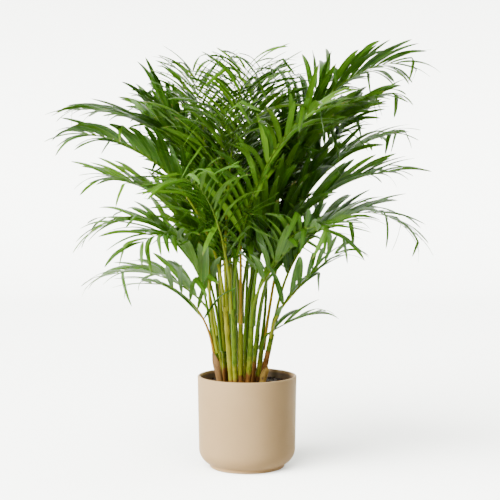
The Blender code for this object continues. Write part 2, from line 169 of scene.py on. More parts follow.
# dried sheaths
HUSK_ROWS = 30
HUSK_COLUMNS = 17
HUSK_RADIUS = 0.0075
HUSK_THICKNESS = 0.0007
HUSK_START = 0.0015
HUSK_CURL = 0.0022
HUSK_CREASE = 0.0005
HUSK_RAGGEDNESS = 0.006

# stalks and ribs: their radius at shares of a frond's length
RIB_SIDES = 10
RIB_POINTS = 54
RIB_SHARES = (0, 0.35, 0.6, 0.85, 1)
RIB_RADII = (0.0041, 0.0031, 0.0019, 0.0010, 0.0005)
STALK_FOOT_RADIUS = 0.0048
STALK_FLARE_LENGTH = 0.022
STALK_SUNK = 0.010

# leaflets
LEAFLET_SPACING = 0.0168
LEAFLET_WIDTH = 0.0202
LEAFLET_THICKNESS = 0.0008
LEAFLET_REACH = 0.965
LEAFLET_TWIST = 0.85
CREASED_LEAFLETS = 0.11  # share of the leaflets that are bent sharply
CREASE_SPAN = 0.09  # share of a leaflet's length that a crease takes up
BLADE_PEAK = 0.488
BOX_MARGIN = 0.003  # a leaflet stays this far inside the palm's box

# studio
SWEEP_FRONT = -9.0
SWEEP_TURN = 4.0
SWEEP_RADIUS = 3.0
SWEEP_TOP = 12.0
SWEEP_HALF_WIDTH = 14.0
SWEEP_STEPS = 24
CARD_HALF_WIDTH = 3.0
CARD_HEIGHT = -0.0006
KEY_LIGHT = {"spot": (-2.8, -2.2, 2.1), "target": (0, 0, 0.45), "size": 2.2, "power": 400}
WASHES = (("wash_left", (-4, -4, 5), 60, 23), ("wash_right", (5, -2, 5), 110, 10))
CAMERA_SPOT = (0.007, -2.9, 0.68)
CAMERA_DIP = 3.06  # degrees below level
CAMERA_LENS = 86.8
CAMERA_SENSOR = 36


# --- the palm's skeleton: where each cane and each frond runs -------------------------------------------


def tilted(tilt):
    """Unit direction that leans from vertical by the length of tilt, in radians, towards (tilt x, tilt y)."""
    lean = math.hypot(tilt[0], tilt[1])
    if lean < 1e-9:
        return np.array((0.0, 0.0, 1.0))
    across = math.sin(lean) / lean
    return np.array((tilt[0] * across, tilt[1] * across, math.cos(lean)))


def cane_rule(number):
    """Foot, tilt, length, outward turn and share of the cluster's radius of one cane."""
    share = math.sqrt((number + 0.5) / CANES)
    turn = CLUSTER_TURN + number * GOLDEN_TURN
    outward = np.array((math.cos(turn), math.sin(turn)))
    foot = np.array((*(CLUSTER_CENTRE + outward * CLUSTER_RADIUS * share), PLANTER_HEIGHT - HEADSPACE))
    length = CANE_SHORTEST + CANE_STEP * (number * 5 % 4)
    tilt = outward * CANE_SPREAD * share
    return {"foot": foot, "tilt": tilt, "length": length, "turn": turn, "share": share}


def cane_top(cane):
    return cane["foot"] + tilted(cane["tilt"]) * cane["length"]


def frond_rules(canes):
    """One row a frond: cane, azimuth, length, lean, droop, lateness of the droop, seat's azimuth, roll."""
    rows = []
    for number, cane in enumerate(canes):
        count = 3 - number % 2
        own = []
        for place in range(count):
            order = 3 * number + place
            first = order * 0.618034 % 1
            second = order * 0.754878 % 1
            if (number, place) in OUTLINE_FRONDS:
                azimuth, length, lean, droop, late = OUTLINE_FRONDS[number, place]
            else:
                spread = 80 * (place - (count - 1) / 2) + 30 * (first - 0.5)
                azimuth = math.degrees(cane["turn"]) + spread
                length = 0.53 + 0.10 * second + 0.04 * (1 - cane["share"])
                lean = 2 + 5 * cane["share"] + 4 * first
                droop = 26 + 34 * first
                late = 1.9
            own.append([number, azimuth % 360, length, lean, droop, late, 50 * (second - 0.5)])
        own.sort(key=lambda row: row[1])
        steps = [math.radians(row[1] - 360 * place / count) for place, row in enumerate(own)]
        offset = math.atan2(sum(map(math.sin, steps)), sum(map(math.cos, steps)))
        for place, row in enumerate(own):
            row.append(offset + 2 * math.pi * place / count)
        rows += own
    return rows


def frond_path(cane, row, turned_by=0.0, more_lean=0.0):
    """Points, directions and the azimuth of one frond, from its seat on the cane's top to its tip."""
    _, azimuth, length, lean, droop, late, _, seat = row
    azimuth = math.radians(azimuth + turned_by)
    outward = np.array((math.cos(azimuth), math.sin(azimuth)))
    along = tilted(cane["tilt"])
    across = np.array((math.cos(seat), math.sin(seat), 0.0))
    across -= along * (across @ along)
    across /= np.linalg.norm(across)
    point = cane_top(cane) + along * GAP + across * SEAT_RADIUS
    points, directions = [point], [along]
    for step in range(PATH_STEPS):
        share = (step + 0.5) / PATH_STEPS
        ramp = min(1.0, share / 0.3)
        ramp *= ramp * (3 - 2 * ramp)
        bend = math.radians((lean + more_lean) * ramp + droop * share**late)
        direction = tilted(cane["tilt"] * (1 - ramp) + outward * bend)
        point = point + direction * (length / PATH_STEPS)
        points.append(point)
        directions.append(direction)
    return np.array(points), np.array(directions), azimuth


def stalk_radius(share):
    return STALK_RADIUS + (RIB_END_RADIUS - STALK_RADIUS) * share


def stands_clear(points, radii, placed):
    """Whether a path as thick as radii says stays clear of the paths already placed."""
    for others, other_radii in placed:
        apart = np.linalg.norm(points[:, None] - others[None], axis=2)
        if (apart - radii[:, None] - other_radii[None]).min() < PATH_CLEARANCE:
            return False
    return True


def path_trials():
    """Changes of a frond's azimuth and lean, in degrees, in the order to try them."""
    for more_lean in PATH_LEANS:
        for attempt in range(PATH_TURNS):
            yield PATH_TURN_STEP * ((attempt + 1) // 2) * (-1) ** attempt, more_lean


def frond_skeleton(canes):
    """Every frond's path; one that would run through a stalk or a cane already there turns or leans."""
    rows = frond_rules(canes)
    placed = []
    for cane in canes:
        along = tilted(cane["tilt"])
        spots = np.linspace(0, cane["length"] - CANE_TOP_RADIUS, 40)
        line = cane["foot"] + spots[:, None] * along
        placed.append((line, np.full(len(line), CANE_FOOT_RADIUS)))
    shares = np.linspace(0, 1, PATH_STEPS + 1)
    radii = STALK_CORNER / STALK_RADIUS * stalk_radius(shares)
    radii += RIB_ROOM * np.clip(shares / 0.2 - 1, 0, 1)
    paths = []
    for row in rows:
        others = placed[: row[0]] + placed[row[0] + 1 :]
        for turned_by, more_lean in path_trials():
            path = frond_path(canes[row[0]], row, turned_by, more_lean)
            if stands_clear(path[0], radii, others):
                break
        placed.append((path[0], radii))
        paths.append(path)
    return rows, paths


def cross_axes(direction, azimuth, roll):
    """Left and upper directions across a rib that runs along direction."""
    left = np.array((-math.sin(azimuth), math.cos(azimuth), 0.0))
    left -= direction * (left @ direction)
    left /= np.linalg.norm(left)
    upper = np.cross(direction, left)
    rolled_left = left * math.cos(roll) + upper * math.sin(roll)
    return rolled_left, upper * math.cos(roll) - left * math.sin(roll)


def frond_scale(length):
    """How big a frond's parts are: 1 on a full-grown frond, less on a shorter one."""
    return min(1.0, 0.62 + 0.38 * length / FROND_SCALE_LENGTH)


def leaflet_rule(along_rib, length):
    """Length, angle from the rib, rise above it and bend of a leaflet, by its place along the rib."""
    fullness = 0.56 + 0.44 * math.sin(math.pi * min(1.0, 0.30 + 0.66 * along_rib))
    angle = math.radians(40 - 12 * along_rib)
    rise = math.radians(36 - 16 * along_rib)
    bend = 0.80 + 0.20 * along_rib
    return LEAFLET_LENGTH * frond_scale(length) * fullness, angle, rise, bend


# --- node trees ------------------------------------------------------------------------------------------


class Nodes:
    """Adds nodes to a tree. A value is a number, a name or another node's socket."""

    def __init__(self, tree):
        self.tree = tree

    def feed(self, socket, value):
        if isinstance(value, bpy.types.NodeSocket):
            self.tree.links.new(value, socket)
        else:
            socket.default_value = value

    def add(self, kind, sockets=None, **settings):
        node = self.tree.nodes.new(kind)
        for name, value in settings.items():
            setattr(node, name, value)
        for name, value in (sockets or {}).items():
            self.feed(node.inputs[name], value)
        return node

    def math(self, operation, *values):
        node = self.add("ShaderNodeMath", operation=operation)
        for socket, value in zip(node.inputs, values):
            self.feed(socket, value)
        return node.outputs[0]

    def vector(self, operation, *values):
        node = self.add("ShaderNodeVectorMath", operation=operation)
        for socket, value in zip(node.inputs, values):
            self.feed(socket, value)
        return node.outputs["Vector"]

    def scaled(self, vector, number):
        node = self.add("ShaderNodeVectorMath", {0: vector, "Scale": number}, operation="SCALE")
        return node.outputs["Vector"]

    def blend(self, first, weight, second, other_weight):
        """first times weight plus second times other_weight."""
        return self.vector("ADD", self.scaled(first, weight), self.scaled(second, other_weight))

    def ramped(self, value, low, high, low_result=0.0, high_result=1.0):
        """A smooth step from low_result to high_result as value goes from low to high."""
        sockets = {
            "Value": value,
            "From Min": low,
            "From Max": high,
            "To Min": low_result,
            "To Max": high_result,
        }
        return self.add("ShaderNodeMapRange", sockets, interpolation_type="SMOOTHSTEP").outputs["Result"]


class Growth(Nodes):
    """A Geometry Nodes tree with named inputs."""

    def __init__(self, name, inputs):
        super().__init__(bpy.data.node_groups.new(name, "GeometryNodeTree"))
        face = self.tree.interface
        face.new_socket("Geometry", in_out="OUTPUT", socket_type="NodeSocketGeometry")
        face.new_socket("Geometry", in_out="INPUT", socket_type="NodeSocketGeometry")
        self.keys = {}
        for label, kind in inputs.items():
            made = face.new_socket(label, in_out="INPUT", socket_type="NodeSocket" + kind)
            self.keys[label] = made.identifier
        self.source = self.add("NodeGroupInput").outputs
        self.sink = self.add("NodeGroupOutput")

    def named(self, name, kind="FLOAT"):
        node = self.add("GeometryNodeInputNamedAttribute", {"Name": name}, data_type=kind)
        return node.outputs["Attribute"]

    def joined(self, *parts):
        node = self.add("GeometryNodeJoinGeometry")
        for part in parts:
            self.tree.links.new(part, node.inputs["Geometry"])
        return node.outputs["Geometry"]

    def finished(self, geometry, material):
        """Instances made real, in their finish."""
        real = self.add("GeometryNodeRealizeInstances", {"Geometry": geometry}).outputs["Geometry"]
        dressed = self.add("GeometryNodeSetMaterial", {"Geometry": real, "Material": material})
        return dressed.outputs["Geometry"]

    def swept(self, line, sides):
        """A round tube along the line, closed at its ends, as thick as its thickness attribute says."""
        curve = self.add("GeometryNodeMeshToCurve", {"Mesh": line}).outputs["Curve"]
        ring = self.add("GeometryNodeCurvePrimitiveCircle", {"Resolution": sides, "Radius": 1.0})
        sockets = {
            "Curve": curve,
            "Profile Curve": ring.outputs["Curve"],
            "Scale": self.named("thickness"),
            "Fill Caps": True,
        }
        return self.add("GeometryNodeCurveToMesh", sockets).outputs["Mesh"]

    def grow(self, guide, **values):
        """The plain mesh that the tree makes from the guide mesh."""
        seedling = bpy.data.objects.new("guide", guide)
        bpy.context.scene.collection.objects.link(seedling)
        growing = seedling.modifiers.new("growth", "NODES")
        growing.node_group = self.tree
        for label, value in values.items():
            growing[self.keys[label.replace("_", " ")]] = value
        bpy.context.view_layer.update()
        grown = bpy.context.evaluated_depsgraph_get()
        made = bpy.data.meshes.new_from_object(
            seedling.evaluated_get(grown),
            preserve_all_data_layers=True,
            depsgraph=grown,
        )
        bpy.data.objects.remove(seedling)
        return made


def guide_mesh(points, edges, **attributes):
    """A mesh of points and edges whose attributes drive a growth."""
    made = bpy.data.meshes.new("guide")
    made.from_pydata([tuple(point) for point in points], edges, [])
    set_attributes(made, **attributes)
    return made


def set_attributes(mesh, **attributes):
    """One number, direction or yes-or-no for each of the mesh's points, by name."""
    for name, values in attributes.items():
        values = np.array(values)
        if values.dtype == bool:
            kind, field = "BOOLEAN", "value"
        elif values.ndim == 2:
            kind, field = "FLOAT_VECTOR", "vector"
        else:
            kind, field = "FLOAT", "value"
        made = mesh.attributes.new(name, kind, "POINT")
        if kind != "BOOLEAN":
            values = values.astype(np.float32)
        made.data.foreach_set(field, values.ravel())


def solid_mesh(name, points, faces, sharp_angle=None):
    """A smooth-shaded mesh, with its edges sharp where they turn by more than sharp_angle degrees."""
    made = bpy.data.meshes.new(name)
    made.from_pydata([tuple(point) for point in points], [], faces)
    made.shade_smooth()
    if sharp_angle:
        made.set_sharp_from_angle(angle=math.radians(sharp_angle))
    return made


def place_piece(name, mesh, slot, *nodes):
    """A finished piece of the palm: it rides on the frame and stands for its nodes."""
    piece = bpy.data.objects.new(name, mesh)
    mesh.name = name
    bpy.context.scene.collection.objects.link(piece)
    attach(piece, "root")
    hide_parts(*nodes)
    return piece


# --- finishes --------------------------------------------------------------------------------------------


class Finish(Nodes):
    """A material that starts as one shader; colour, roughness and bump come from nodes."""

    def __init__(self, name, **same_all_over):
        self.material = bpy.data.materials.new(name)
        self.material.use_nodes = True
        super().__init__(self.material.node_tree)
        self.shader = self.tree.nodes["Principled BSDF"]
        for label, value in same_all_over.items():
            self.shader.inputs[label.replace("_", " ")].default_value = value

    def spot(self):
        """Where a point is on its object, in metres."""
        return self.add("ShaderNodeTexCoord").outputs["Object"]

    def named(self, name):
        return self.add("ShaderNodeAttribute", attribute_name=name).outputs["Fac"]

    def grain(self, scale, detail=3.0, roughness=0.5, spot=None):
        """Noise from 0 to 1, with scale in cells a metre."""
        sockets = {"Vector": spot or self.spot(), "Scale": scale, "Detail": detail, "Roughness": roughness}
        return self.add("ShaderNodeTexNoise", sockets).outputs["Fac"]

    def mixed(self, share, first, second):
        node = self.add("ShaderNodeMix", data_type="RGBA")
        self.feed(node.inputs[0], share)
        for socket, color in ((node.inputs[6], first), (node.inputs[7], second)):
            self.feed(socket, color if isinstance(color, bpy.types.NodeSocket) else (*color, 1))
        return node.outputs[2]

    def shaded(self, value, dark, light, low=0.3, high=0.7):
        """From the dark colour to the light one as value goes from low to high."""
        return self.mixed(self.ramped(value, low, high), dark, light)

    def surface(self, color, roughness, height=None, depth=0.0002, strength=1.0):
        self.feed(self.shader.inputs["Base Color"], color)
        self.feed(self.shader.inputs["Roughness"], roughness)
        if height is not None:
            bump = self.add("ShaderNodeBump", {"Height": height, "Distance": depth, "Strength": strength})
            self.feed(self.shader.inputs["Normal"], bump.outputs["Normal"])

    def glowing_through(self, share, color):
        """Part of the light passes through the surface, as through a leaf."""
        through = self.add("ShaderNodeBsdfTranslucent", {"Color": color})
        both = self.add("ShaderNodeMixShader", {0: share, 1: self.shader.outputs[0], 2: through.outputs[0]})
        self.feed(self.tree.nodes["Material Output"].inputs["Surface"], both.outputs[0])


def ceramic_finish():
    """Matt, slightly grainy fired clay in a warm sand colour, with painted shade on the inside below the lip.
    """
    made = Finish("planter_ceramic", Metallic=0.0, Specular_IOR_Level=0.22)
    clouds = made.grain(9.0, detail=4.0)
    specks = made.grain(1100.0, detail=2.0, roughness=0.6)
    color = made.shaded(clouds, (0.640, 0.418, 0.196), (0.680, 0.452, 0.218))
    color = made.mixed(made.ramped(specks, 0.60, 0.78, 0.0, 0.35), color, (0.54, 0.345, 0.16))
    # painted shade: below the lip the inside darkens towards the colour of the clay in shade
    depth = made.math("ADD", made.named("inside"), made.math("MULTIPLY", clouds, 0.2))
    color = made.mixed(made.ramped(depth, 0.15, 1.0), color, (0.27, 0.185, 0.115))
    pits = made.math("MULTIPLY", made.grain(260.0), 0.8)
    fine = made.math("ADD", made.math("MULTIPLY", specks, 0.6), pits)
    made.surface(color, made.ramped(clouds, 0.25, 0.75, 0.56, 0.66), fine, depth=0.00022, strength=0.55)
    return made.material


def soil_finish():
    """Dark, moist potting soil with paler bits of bark."""
    made = Finish("potting_soil", Metallic=0.0)
    lumps = made.grain(320.0, detail=5.0, roughness=0.7)
    bits = made.grain(900.0, detail=3.0, roughness=0.7)
    color = made.shaded(lumps, (0.022, 0.013, 0.008), (0.085, 0.050, 0.028), 0.35, 0.68)
    color = made.mixed(made.ramped(bits, 0.60, 0.75, 0.0, 0.7), color, (0.17, 0.105, 0.055))
    made.surface(color, made.ramped(bits, 0.3, 0.7, 0.82, 0.96), lumps, depth=0.0016, strength=0.9)
    return made.material


def cane_finish():
    """Smooth yellow-green sheaths that turn straw and brown towards the foot."""
    made = Finish("cane_green", Metallic=0.0, Specular_IOR_Level=0.04)
    height = made.named("height")
    tone = made.named("tone")
    fibre = made.named("turn")
    x, y = made.math("MULTIPLY", fibre, 46.0), made.math("MULTIPLY", height, 14.0)
    streak_spot = made.add("ShaderNodeCombineXYZ", {"X": x, "Y": y, "Z": made.math("MULTIPLY", tone, 31.0)})
    streaks = made.grain(1.0, detail=3.0, spot=streak_spot.outputs["Vector"])
    blotch = made.grain(70.0, detail=4.0)
    green = made.shaded(streaks, (0.034, 0.086, 0.004), (0.185, 0.270, 0.018))
    straw = made.shaded(streaks, (0.20, 0.21, 0.008), (0.43, 0.39, 0.035))
    brown = made.shaded(streaks, (0.15, 0.058, 0.012), (0.32, 0.150, 0.035))
    color = made.mixed(made.ramped(tone, 0.70, 1.0), green, straw)
    low = made.math("ADD", height, made.math("MULTIPLY", made.math("SUBTRACT", blotch, 0.5), 0.5))
    color = made.mixed(made.ramped(low, 0.10, 0.34, 0.75, 0.0), color, straw)
    dry = made.named("dry")
    patch = made.math("ADD", dry, made.math("MULTIPLY", made.math("SUBTRACT", blotch, 0.5), 0.6))
    color = made.mixed(made.ramped(patch, 0.42, 0.62), color, brown)
    made.surface(color, made.ramped(streaks, 0.2, 0.8, 0.34, 0.52), streaks, depth=0.0003, strength=0.6)
    return made.material


def husk_finish():
    """Papery dried sheath with long fibres."""
    made = Finish("dry_husk", Metallic=0.0)
    across, up = made.named("turn"), made.named("height")
    spot = made.add(
        "ShaderNodeCombineXYZ",
        {"X": made.math("MULTIPLY", across, 60.0), "Y": made.math("MULTIPLY", up, 5.0)},
    ).outputs["Vector"]
    fibres = made.grain(1.0, detail=4.0, roughness=0.6, spot=spot)
    stains = made.grain(60.0, detail=4.0)
    fresh = made.shaded(fibres, (0.44, 0.230, 0.028), (0.80, 0.540, 0.120))
    old = made.shaded(fibres, (0.070, 0.024, 0.007), (0.26, 0.120, 0.036))
    color = made.mixed(made.named("tone"), fresh, old)
    color = made.mixed(made.ramped(stains, 0.52, 0.72, 0.0, 0.8), color, (0.13, 0.052, 0.016))
    made.surface(color, made.ramped(fibres, 0.2, 0.8, 0.6, 0.85), fibres, depth=0.0005, strength=0.8)
    return made.material


def rib_finish():
    """Stalk and rib: yellow-green at the foot, greener towards the tip, with fine lengthwise streaks."""
    made = Finish("frond_rib", Metallic=0.0, Specular_IOR_Level=0.08)
    share, tone = made.named("share"), made.named("tone")
    patches = made.grain(12.0, detail=2.0)
    spot = made.add("ShaderNodeVectorMath", {0: made.spot(), 1: (900.0, 900.0, 26.0)}, operation="MULTIPLY")
    streaks = made.grain(1.0, detail=2.0, spot=spot.outputs["Vector"])
    foot = made.shaded(tone, (0.090, 0.190, 0.006), (0.320, 0.350, 0.020), 0.2, 0.9)
    tip = made.shaded(streaks, (0.062, 0.158, 0.006), (0.140, 0.275, 0.014))
    color = made.mixed(made.ramped(share, 0.16, 0.72), foot, tip)
    color = made.mixed(made.ramped(patches, 0.45, 0.75, 0.0, 0.35), color, (0.245, 0.325, 0.014))
    orange = made.shaded(streaks, (0.34, 0.15, 0.010), (0.50, 0.27, 0.03))
    ripe = made.math("MULTIPLY", made.ramped(tone, 0.93, 0.97), made.ramped(share, 0.30, 0.44, 1.0, 0.0))
    color = made.mixed(ripe, color, orange)
    made.surface(color, made.ramped(streaks, 0.2, 0.8, 0.30, 0.46), streaks, depth=0.00015, strength=0.5)
    return made.material


def leaflet_finish():
    """Glossy green blade with a paler midrib, fine long veins and, here and there, a dry tip."""
    made = Finish("frond_green", Metallic=0.0, Specular_IOR_Level=0.24)
    along, vein, tone = made.named("along"), made.named("vein"), made.named("tone")
    age = made.named("age")
    patches = made.grain(26.0, detail=3.0)
    depth = made.math("ADD", made.math("MULTIPLY", tone, 0.55), made.math("MULTIPLY", patches, 0.45))
    young = made.shaded(depth, (0.066, 0.195, 0.005), (0.180, 0.365, 0.014), 0.15, 0.85)
    old = made.shaded(depth, (0.017, 0.073, 0.003), (0.058, 0.178, 0.008), 0.15, 0.85)
    color = made.mixed(age, young, old)
    lines = made.math("SINE", made.math("MULTIPLY", vein, 46.0))
    color = made.mixed(made.ramped(lines, -1.0, 1.0, 0.0, 0.14), color, (0.15, 0.33, 0.02))
    from_rib = made.math("ABSOLUTE", vein)
    color = made.mixed(made.ramped(from_rib, 0.03, 0.13, 0.50, 0.0), color, (0.22, 0.38, 0.03))
    color = made.mixed(made.ramped(along, 0.0, 0.10, 0.55, 0.0), color, (0.24, 0.36, 0.02))
    tip = made.math("MULTIPLY", made.ramped(along, 0.90, 1.0), made.ramped(tone, 0.55, 0.9))
    color = made.mixed(tip, color, (0.36, 0.30, 0.07))
    ridge = made.math("ADD", lines, made.ramped(from_rib, 0.0, 0.10, 5.0, 0.0))
    made.surface(color, made.ramped(patches, 0.25, 0.75, 0.33, 0.46), ridge, depth=0.00012, strength=0.6)
    made.glowing_through(0.22, made.mixed(0.65, color, (0.30, 0.58, 0.03)))
    return made.material


# --- planter and soil ------------------------------------------------------------------------------------


def arc(centre, radius, start, end, steps):
    """Points (radius, height) from start to end degrees round the centre."""
    angles = np.radians(np.linspace(start, end, steps + 1))
    return [(centre[0] + radius * math.cos(a), centre[1] + radius * math.sin(a)) for a in angles]


def inner_radius(height):
    """Radius of the planter's inside above its rounded bottom."""
    share = (height - FOOT_HEIGHT) / (PLANTER_HEIGHT - FOOT_HEIGHT)
    return LOW_RADIUS + (RIM_RADIUS - LOW_RADIUS) * share - WALL


def planter_outline():
    """From the middle of the underside, up the outside, over the lip, down the inside to the floor."""
    centre_radius = LOW_RADIUS - BOTTOM_ROUNDING
    start = -math.degrees(math.acos((FOOT_RADIUS - centre_radius) / BOTTOM_ROUNDING))
    centre_height = FOOT_HEIGHT - BOTTOM_ROUNDING * math.sin(math.radians(start))
    ring_start = FOOT_RADIUS - FOOT_RING
    outline = [(0, UNDERSIDE_HOLLOW), (ring_start - UNDERSIDE_SLOPE, UNDERSIDE_HOLLOW), (ring_start, 0)]
    outline += arc((FOOT_RADIUS - FOOT_ROUNDING, FOOT_ROUNDING), FOOT_ROUNDING, -90, 0, 6)
    outline.append((FOOT_RADIUS, FOOT_HEIGHT - 3 * FOOT_GROOVE))
    outline.append((FOOT_RADIUS + FOOT_GROOVE, FOOT_HEIGHT - FOOT_GROOVE))
    outline += arc((centre_radius, centre_height), BOTTOM_ROUNDING, start, 0, 18)[1:]
    for share in np.linspace(0.15, 0.9, 6):
        height = centre_height + (PLANTER_HEIGHT - LIP_ROUNDING - centre_height) * share
        outline.append((LOW_RADIUS + (RIM_RADIUS - LOW_RADIUS) * share, height))
    inner_lip = inner_radius(PLANTER_HEIGHT)
    lip_height = PLANTER_HEIGHT - LIP_ROUNDING
    outline += arc((RIM_RADIUS - LIP_ROUNDING, lip_height), LIP_ROUNDING, 0, 90, 6)
    outline += arc((inner_lip + LIP_ROUNDING, lip_height), LIP_ROUNDING, 90, 180, 6)
    rounding = BOTTOM_ROUNDING - WALL
    low = FLOOR_THICKNESS + rounding
    outline += [(inner_radius(height), height) for height in np.linspace(lip_height, low, 24)[1:-1]]
    outline += arc((inner_radius(low) - rounding, low), rounding, 0, -90, 10)
    return outline + [(0, FLOOR_THICKNESS)]


def turned_faces(rings, sides):
    """Faces of a turned solid: its rings of points, then its first and last point on the axis."""
    first, last = rings * sides, rings * sides + 1
    faces = []
    for side in range(sides):
        following = (side + 1) % sides
        faces.append((first, following, side))
        for ring in range(rings - 1):
            low, high = ring * sides, (ring + 1) * sides
            faces.append((low + side, low + following, high + following, high + side))
        top = (rings - 1) * sides
        faces.append((top + side, top + following, last))
    return faces


def turned_points(outline, sides):
    angles = 2 * np.pi * np.arange(sides) / sides
    points = [(r * math.cos(a), r * math.sin(a), z) for r, z in outline[1:-1] for a in angles]
    return points + [(0, 0, outline[0][1]), (0, 0, outline[-1][1])]


def make_planter(material):
    """The turned planter; its inside attribute, which drives the painted shade on the inside, goes from 0 at
    the lip to 1 below it.
    """
    outline = planter_outline()
    points = turned_points(outline, PLANTER_SIDES)
    mesh = solid_mesh("planter_shell", points, turned_faces(len(outline) - 2, PLANTER_SIDES), 40)
    peak = max(range(len(outline)), key=lambda place: outline[place][1])
    depths = [(PLANTER_HEIGHT - height) * (place > peak) for place, (_, height) in enumerate(outline)]
    inside = [min(1.0, depth / INSIDE_SHADE_DEPTH) for depth in depths]
    rings = [share for share in inside[1:-1] for _ in range(PLANTER_SIDES)]
    set_attributes(mesh, inside=rings + [inside[0], inside[-1]])
    mesh.materials.append(material)
    place_piece("planter_shell", mesh, "planter_ceramic", "planter")


def soil_height(x, y):
    """How far the soil's surface stands above its level, at most about SOIL_RISE."""
    mound = 1 - min(1.0, math.hypot(x, y) / inner_radius(PLANTER_HEIGHT)) ** 2
    rough = noise.fractal(Vector((x * 55, y * 55, 3.7)), 0.9, 2.1, 4)
    return SOIL_RISE * (0.9 * mound + 0.45 * rough)


def crumb_growth():
    """Scatters crumbs over the upper side of the soil."""
    inputs = {
        "Crumb": "Object",
        "Density": "Float",
        "Smallest": "Float",
        "Largest": "Float",
        "Finish": "Material",
    }
    tree = Growth("crumbs", inputs)
    source = tree.source
    normal = tree.add("GeometryNodeInputNormal").outputs["Normal"]
    up = tree.add("ShaderNodeSeparateXYZ", {"Vector": normal}).outputs["Z"]
    on_top = tree.math("GREATER_THAN", up, 0.6)
    spread = tree.add(
        "GeometryNodeDistributePointsOnFaces",
        {"Mesh": source["Geometry"], "Selection": on_top, "Density": source["Density"], "Seed": 7},
    )
    crumb = tree.add("GeometryNodeObjectInfo", {"Object": source["Crumb"]}).outputs["Geometry"]
    size = tree.add("FunctionNodeRandomValue", {"Seed": 11}, data_type="FLOAT")
    tree.feed(size.inputs[2], source["Smallest"])
    tree.feed(size.inputs[3], source["Largest"])
    spin = tree.add("FunctionNodeRandomValue", {"Seed": 13}, data_type="FLOAT_VECTOR")
    spin.inputs[1].default_value = (math.tau,) * 3
    shape = tree.add("FunctionNodeRandomValue", {"Seed": 17}, data_type="FLOAT_VECTOR")
    shape.inputs[0].default_value = (0.6, 0.5, 0.35)
    shape.inputs[1].default_value = (1.7, 1.1, 0.9)
    scale = tree.scaled(shape.outputs[0], size.outputs[1])
    placed = tree.add(
        "GeometryNodeInstanceOnPoints",
        {"Points": spread.outputs["Points"], "Instance": crumb, "Scale": scale},
    )
    turn = tree.add("FunctionNodeEulerToRotation", {"Euler": spin.outputs[0]})
    tree.feed(placed.inputs["Rotation"], turn.outputs["Rotation"])
    whole = tree.joined(source["Geometry"], placed.outputs["Instances"])
    tree.feed(tree.sink.inputs["Geometry"], tree.finished(whole, source["Finish"]))
    return tree


def crumb_blank():
    """One irregular lump of soil, about two units across."""
    golden = (1 + math.sqrt(5)) / 2
    corners = [(-1, golden, 0), (1, golden, 0), (-1, -golden, 0), (1, -golden, 0)]
    corners += [(0, -1, golden), (0, 1, golden), (0, -1, -golden), (0, 1, -golden)]
    corners += [(golden, 0, -1), (golden, 0, 1), (-golden, 0, -1), (-golden, 0, 1)]
    faces = [(0, 11, 5), (0, 5, 1), (0, 1, 7), (0, 7, 10), (0, 10, 11), (1, 5, 9), (5, 11, 4), (11, 10, 2)]
    faces += [(10, 7, 6), (7, 1, 8), (3, 9, 4), (3, 4, 2), (3, 2, 6), (3, 6, 8), (3, 8, 9), (4, 9, 5)]
    faces += [(2, 4, 11), (6, 2, 10), (8, 6, 7), (9, 8, 1)]
    points = []
    for corner in corners:
        spot = Vector(corner).normalized()
        points.append(spot * (1 + 0.5 * noise.noise(spot * 2.3)))
    blank = bpy.data.objects.new("crumb", solid_mesh("crumb", points, faces))
    blank.data.shade_flat()
    return blank


def make_soil(material):
    """The bed of soil, a little mounded and rough, with crumbs scattered over it."""
    top = PLANTER_HEIGHT - HEADSPACE
    rounding = BOTTOM_ROUNDING - WALL
    low = FLOOR_THICKNESS + rounding
    outline = [(0, FLOOR_THICKNESS + GAP)]
    outline += arc((inner_radius(low) - rounding, low), rounding - GAP, -90, 0, 6)
    edge = inner_radius(top) - GAP
    walls = len(outline) - 1
    outline += [(edge * share, top) for share in np.linspace(1, 0, SOIL_RINGS)]
    points = turned_points(outline, SOIL_SIDES)
    surface = walls * SOIL_SIDES
    middle = len(points) - 1
    for k in [*range(surface, len(points) - 2), middle]:
        x, y, z = points[k]
        points[k] = (x, y, z + soil_height(x, y))
    bed = solid_mesh("soil_bed", points, turned_faces(len(outline) - 2, SOIL_SIDES), 60)
    mesh = crumb_growth().grow(
        bed,
        Crumb=crumb_blank(),
        Density=CRUMB_DENSITY,
        Smallest=SMALLEST_CRUMB,
        Largest=LARGEST_CRUMB,
        Finish=material,
    )
    place_piece("soil_bed", mesh, "soil", "potting_soil")


# --- canes -----------------------------------------------------------------------------------------------


def stem_growth():
    """A round stem along the guide's line, as thick as its thickness attribute says."""
    tree = Growth("stem", {"Sides": "Int", "Finish": "Material"})
    source = tree.source
    stem = tree.swept(source["Geometry"], source["Sides"])
    tree.feed(tree.sink.inputs["Geometry"], tree.finished(stem, source["Finish"]))
    return tree


def cane_thickness(spots, length, seed):
    """Radius along a cane: a swollen foot, ring scars low down and the edge of each wrapped sheath."""
    radius = np.interp(np.clip(spots / length, 0, 1), CANE_SHARES, CANE_RADII)
    for ring in range(RING_SCARS):
        height = FIRST_SCAR + (SCAR_STEP + 0.004 * (seed % 1)) * ring
        radius += SCAR_SWELL * np.exp(-(((spots - height) / 0.0011) ** 2))
        radius -= SCAR_GROOVE * np.exp(-(((spots - height - 0.0022) / 0.0016) ** 2))
    for fold in range(SHEATH_EDGES):
        height = length * (0.48 + 0.24 * fold + 0.10 * ((seed * 7) % 1))
        wrapped = np.clip(1 - (spots - height) / 0.0015, 0, 1) * (spots > height - 0.06)
        radius += SHEATH_EDGE_SWELL * wrapped
    radius[spots > length - 0.002] *= 0.90
    return radius


